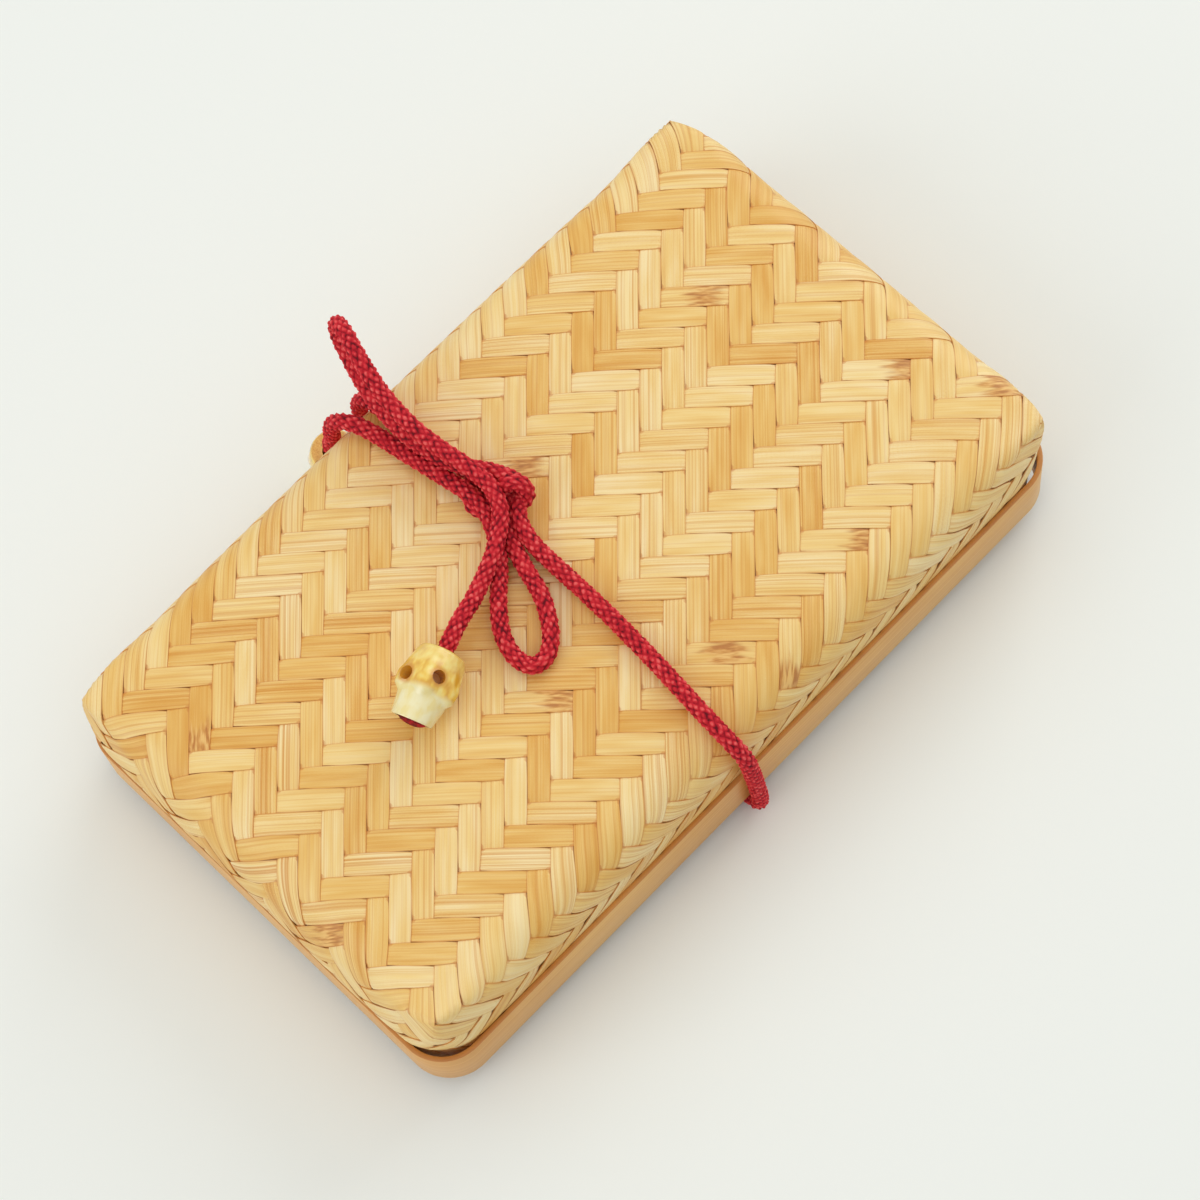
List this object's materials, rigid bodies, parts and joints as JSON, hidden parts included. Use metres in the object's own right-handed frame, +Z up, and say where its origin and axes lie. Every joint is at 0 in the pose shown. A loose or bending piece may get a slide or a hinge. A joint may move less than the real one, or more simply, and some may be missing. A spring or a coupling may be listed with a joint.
{
  "type": "woven bamboo bento box",
  "caption": "Rectangular food box of diagonally woven bamboo strips: a deep hoop-rimmed lid slides down over a footed tray, and a braided cord tied in a bow holds it shut.",
  "frame": {"origin": "middle of the box without its cord, at the plane its tray feet stand on", "axes": "+X along the box, +Y across it towards the side where the back loop hangs over, +Z up"},
  "size_m": [0.2, 0.1379, 0.0653],
  "materials": {
    "woven_bamboo": "satin, split strips with lengthwise fibre and brown nodes",
    "bamboo_hoop": "satin, smooth bent bamboo with fine fibre",
    "bamboo_bead": "polished, yellow with a pale cut end",
    "braided_cord": "matt round braid, crimson"
  },
  "bodies": {
    "tray": {"tray_shell": "woven_bamboo", "tray_hoop_outer": "bamboo_hoop", "tray_hoop_inner": "bamboo_hoop", "cord_under_run": "braided_cord", "cord_side_front": "braided_cord", "cord_side_back": "braided_cord"},
    "lid": {"lid_shell": "woven_bamboo", "lid_hoop_outer": "bamboo_hoop", "lid_hoop_inner": "bamboo_hoop", "cord_top_front": "braided_cord", "cord_top_back": "braided_cord", "cord_knot": "braided_cord", "cord_loop_back": "braided_cord", "cord_loop_front": "braided_cord", "cord_tail_front": "braided_cord", "cord_tail_back": "braided_cord", "cord_end_knot_front": "braided_cord", "cord_end_knot_back": "braided_cord"},
    "bead_front": {"bead_front": "bamboo_bead"},
    "bead_back": {"bead_back": "bamboo_bead"}
  },
  "joints": [
    {"name": "lid_lift", "type": "slide", "parent": "tray", "child": "lid", "axis": [0, 0, 1], "range_m": [0, 0.045], "deforming": ["cord_side_front", "cord_side_back"]},
    {"name": "bead_front_slide", "type": "slide", "parent": "lid", "child": "bead_front", "axis": [0.939, 0.344, 0], "range_m": [0, 0.008]},
    {"name": "bead_back_slide", "type": "slide", "parent": "lid", "child": "bead_back", "axis": [0, 0, 1], "range_m": [0, 0.003]}
  ]
}
